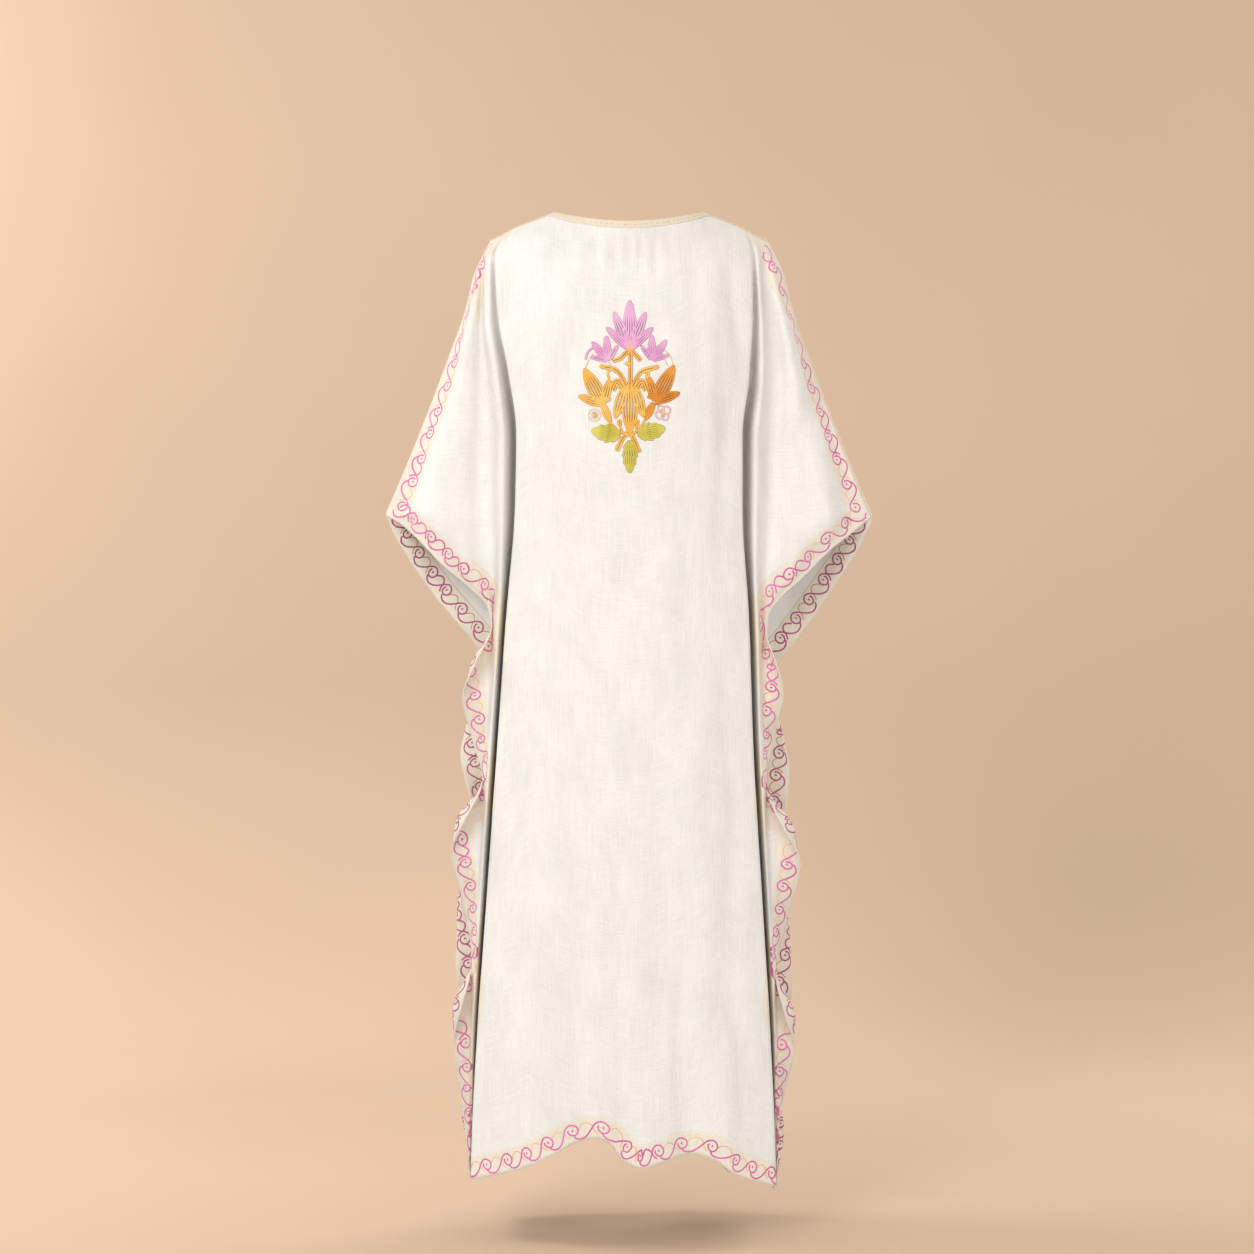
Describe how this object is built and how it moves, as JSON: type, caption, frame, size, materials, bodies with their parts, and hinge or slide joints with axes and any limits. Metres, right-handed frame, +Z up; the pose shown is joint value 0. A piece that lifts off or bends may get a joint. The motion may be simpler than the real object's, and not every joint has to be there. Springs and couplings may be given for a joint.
{
  "type": "kaftan",
  "caption": "Full-length butterfly-cut cotton kaftan as worn: wide draped sleeves, ruffled side edges, a bound scooped neck and an open hem.",
  "frame": {"origin": "midway between the two neck points of the shoulder seams, where the wearer's shoulders hold the garment up", "axes": "+Z up, the wearer faces -Y, so the back panel is on the +Y side and the wearer's left is +X"},
  "size_m": [0.711, 0.2759, 1.4282],
  "materials": {
    "cotton": "matte slubbed plain weave",
    "binding": "matte stitched bias strip",
    "embroidery": "soft chain-stitched thread"
  },
  "bodies": {
    "root": {"back_panel": "cotton", "front_panel": "cotton", "neck_binding_back": "binding", "neck_binding_front": "binding"}
  },
  "joints": []
}
